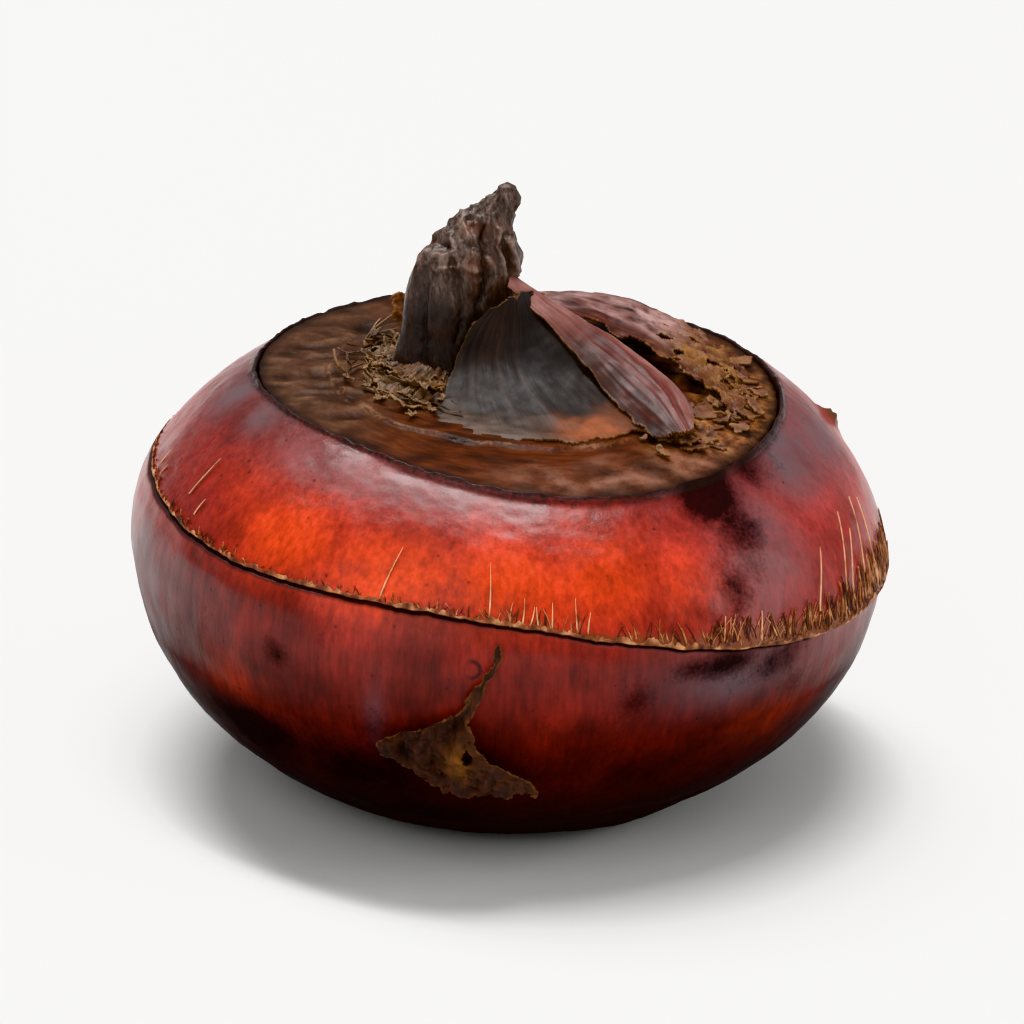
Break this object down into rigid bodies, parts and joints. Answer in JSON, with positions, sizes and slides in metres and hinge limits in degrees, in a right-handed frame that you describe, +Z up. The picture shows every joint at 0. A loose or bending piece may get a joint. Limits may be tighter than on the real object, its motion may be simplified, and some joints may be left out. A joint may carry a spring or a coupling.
{
  "type": "water chestnut",
  "caption": "Whole water chestnut corm: a flattened glossy tuber with a frayed node line, a raised crown ring, dry brown scales and a crumpled bud.",
  "frame": {"origin": "middle of the whole chestnut's box in X and Y, on the surface it rests on", "axes": "+X right, -Y front, +Z up along the corm's axis to the bud"},
  "size_m": [0.0424, 0.0434, 0.0355],
  "materials": {
    "corm_skin": "glossy orange-red to maroon skin with black blooms and fine streaks",
    "bud_leaf": "nearly black, crumpled dry leaf",
    "crown_leaf": "leathery dark brown leaf base",
    "dark_scale": "smooth dark brown scale, silver-grey at its foot",
    "purple_scale": "satin purple-pink dry scale",
    "tan_scale": "mottled pinkish tan scale with yellow torn edges",
    "shred_fibre": "matt grey-brown frayed leaf fibre",
    "orange_scale": "matt orange-brown torn flap",
    "papery_scrap": "thin brown papery leaf remnant"
  },
  "bodies": {
    "root": {"corm": "corm_skin", "bud_sheath": "bud_leaf", "crown_scale": "crown_leaf", "front_scale": "dark_scale", "folded_scale": "purple_scale", "back_scale": "tan_scale", "collar_shreds": "shred_fibre", "side_tag": "orange_scale", "lower_scrap": "papery_scrap"}
  },
  "joints": []
}
